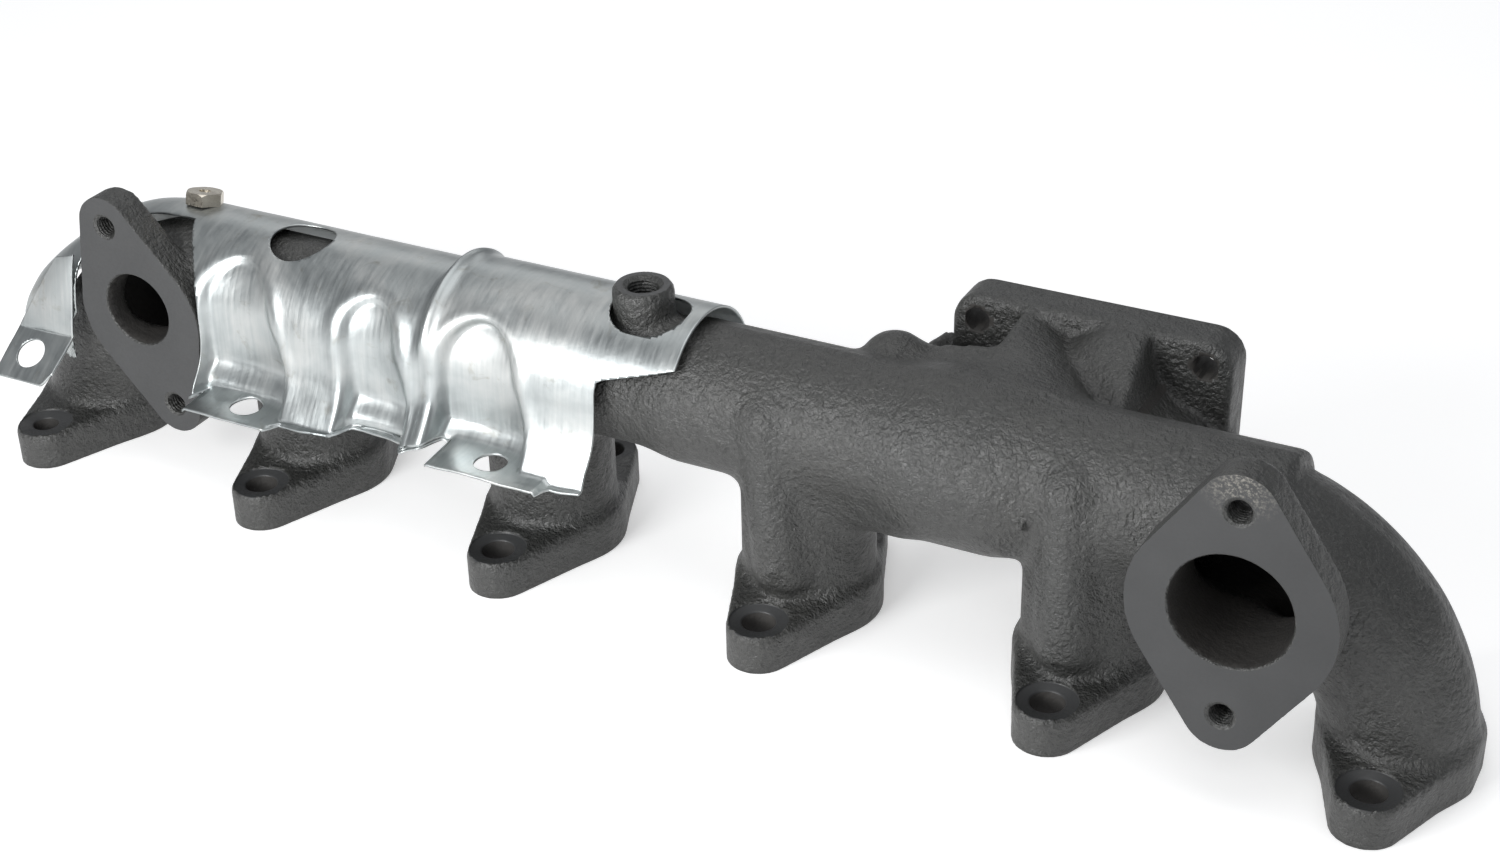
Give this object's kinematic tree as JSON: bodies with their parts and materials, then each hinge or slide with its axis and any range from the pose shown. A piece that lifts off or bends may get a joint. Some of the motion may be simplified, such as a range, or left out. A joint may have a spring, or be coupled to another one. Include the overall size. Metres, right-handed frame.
{
  "type": "exhaust manifold",
  "caption": "Cast log-type exhaust manifold for an in-line engine, with port flanges in a row, two side outlets, a turbocharger flange, a sensor boss and a pressed heat shield.",
  "frame": {"origin": "centre of the six-port row on the cylinder head mating face", "axes": "+X along the row from port 1 to port 6, +Y towards the turbocharger flange, +Z away from the cylinder head"},
  "size_m": [0.6622, 0.1359, 0.1381],
  "materials": {
    "iron": "as-cast iron with dark grey high-temperature paint",
    "sheet": "pressed aluminised sheet, 1 mm, with forming marks",
    "bolts": "heat-tinted stainless steel"
  },
  "bodies": {
    "root": {"manifold_casting": "iron", "heat_shield": "sheet", "shield_bolt_top": "bolts", "shield_bolt_rear": "bolts"}
  },
  "joints": []
}
